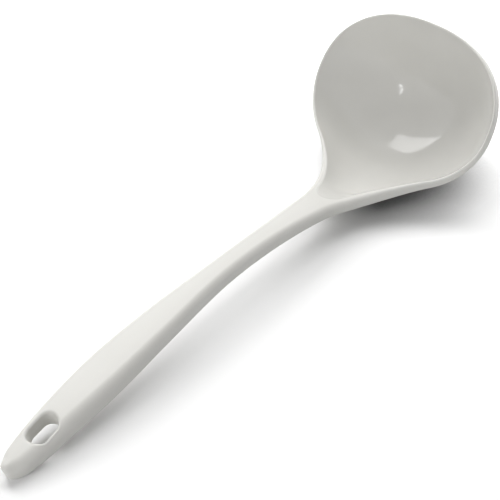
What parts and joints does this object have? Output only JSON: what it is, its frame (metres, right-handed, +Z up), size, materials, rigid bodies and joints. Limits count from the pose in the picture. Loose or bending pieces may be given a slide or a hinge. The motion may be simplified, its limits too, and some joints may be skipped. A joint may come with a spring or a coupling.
{
  "type": "sauce ladle",
  "caption": "One-piece moulded sauce ladle: a round-edged arched handle with a hanging slot widens through a throat into a deep oval bowl.",
  "frame": {"origin": "on the table, under the middle of the ladle's length as it lies on its bowl and the end of its handle", "axes": "+X from the end of the handle to the bowl, +Y to the ladle's left side, +Z up from the table"},
  "size_m": [0.2506, 0.085, 0.0586],
  "materials": {
    "melamine_gloss": "polished moulding",
    "melamine_satin": "satin moulding"
  },
  "bodies": {
    "root": {"bowl": "melamine_gloss", "handle": "melamine_satin"}
  },
  "joints": []
}
